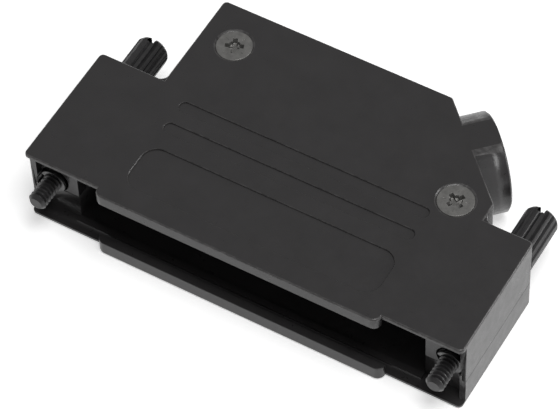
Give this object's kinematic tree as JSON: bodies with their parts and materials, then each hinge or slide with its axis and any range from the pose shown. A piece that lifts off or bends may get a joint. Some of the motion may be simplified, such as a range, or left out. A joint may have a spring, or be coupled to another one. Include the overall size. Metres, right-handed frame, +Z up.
{
  "type": "d-sub hood",
  "caption": "Two-part black die-cast hood for a wide D-sub connector, with a 45 degree cable entry, inner cable clamp and captive thumbscrews.",
  "frame": {"origin": "on the flat bottom face, in the middle of the front edge that meets the mating panel", "axes": "+X along the connector, +Y back from the mating face towards the cable, +Z up through the hood's thickness"},
  "size_m": [0.0694, 0.0428, 0.014],
  "materials": {
    "shell_black": "semi-matte black coating on zinc die-casting",
    "cover_screw_grey": "dull grey plated steel",
    "thumbscrew_black": "black oxide turned steel",
    "ring_steel": "blackened spring steel",
    "clamp_zinc": "bare zinc die-casting",
    "clamp_screw_steel": "bright zinc plated steel"
  },
  "bodies": {
    "hood": {"upper_shell": "shell_black", "lower_shell": "shell_black", "left_cover_screw": "cover_screw_grey", "right_cover_screw": "cover_screw_grey", "clamp_saddle": "clamp_zinc", "clamp_strap": "clamp_zinc", "clamp_screw_rear": "clamp_screw_steel", "clamp_screw_front": "clamp_screw_steel"},
    "left_ring": {"left_retaining_ring": "ring_steel"},
    "left_screw": {"left_thumbscrew": "thumbscrew_black"},
    "right_ring": {"right_retaining_ring": "ring_steel"},
    "right_screw": {"right_thumbscrew": "thumbscrew_black"}
  },
  "joints": [
    {"name": "left_screw_float", "type": "slide", "parent": "hood", "child": "left_ring", "axis": [0, 1, 0], "range_m": [0, 0.0012]},
    {"name": "left_screw_turn", "type": "hinge", "parent": "left_ring", "child": "left_screw", "pos_m": [-0.03175, 0, 0.007], "axis": [0, 1, 0], "continuous": true},
    {"name": "right_screw_float", "type": "slide", "parent": "hood", "child": "right_ring", "axis": [0, 1, 0], "range_m": [0, 0.0012]},
    {"name": "right_screw_turn", "type": "hinge", "parent": "right_ring", "child": "right_screw", "pos_m": [0.03175, 0, 0.007], "axis": [0, 1, 0], "continuous": true}
  ]
}
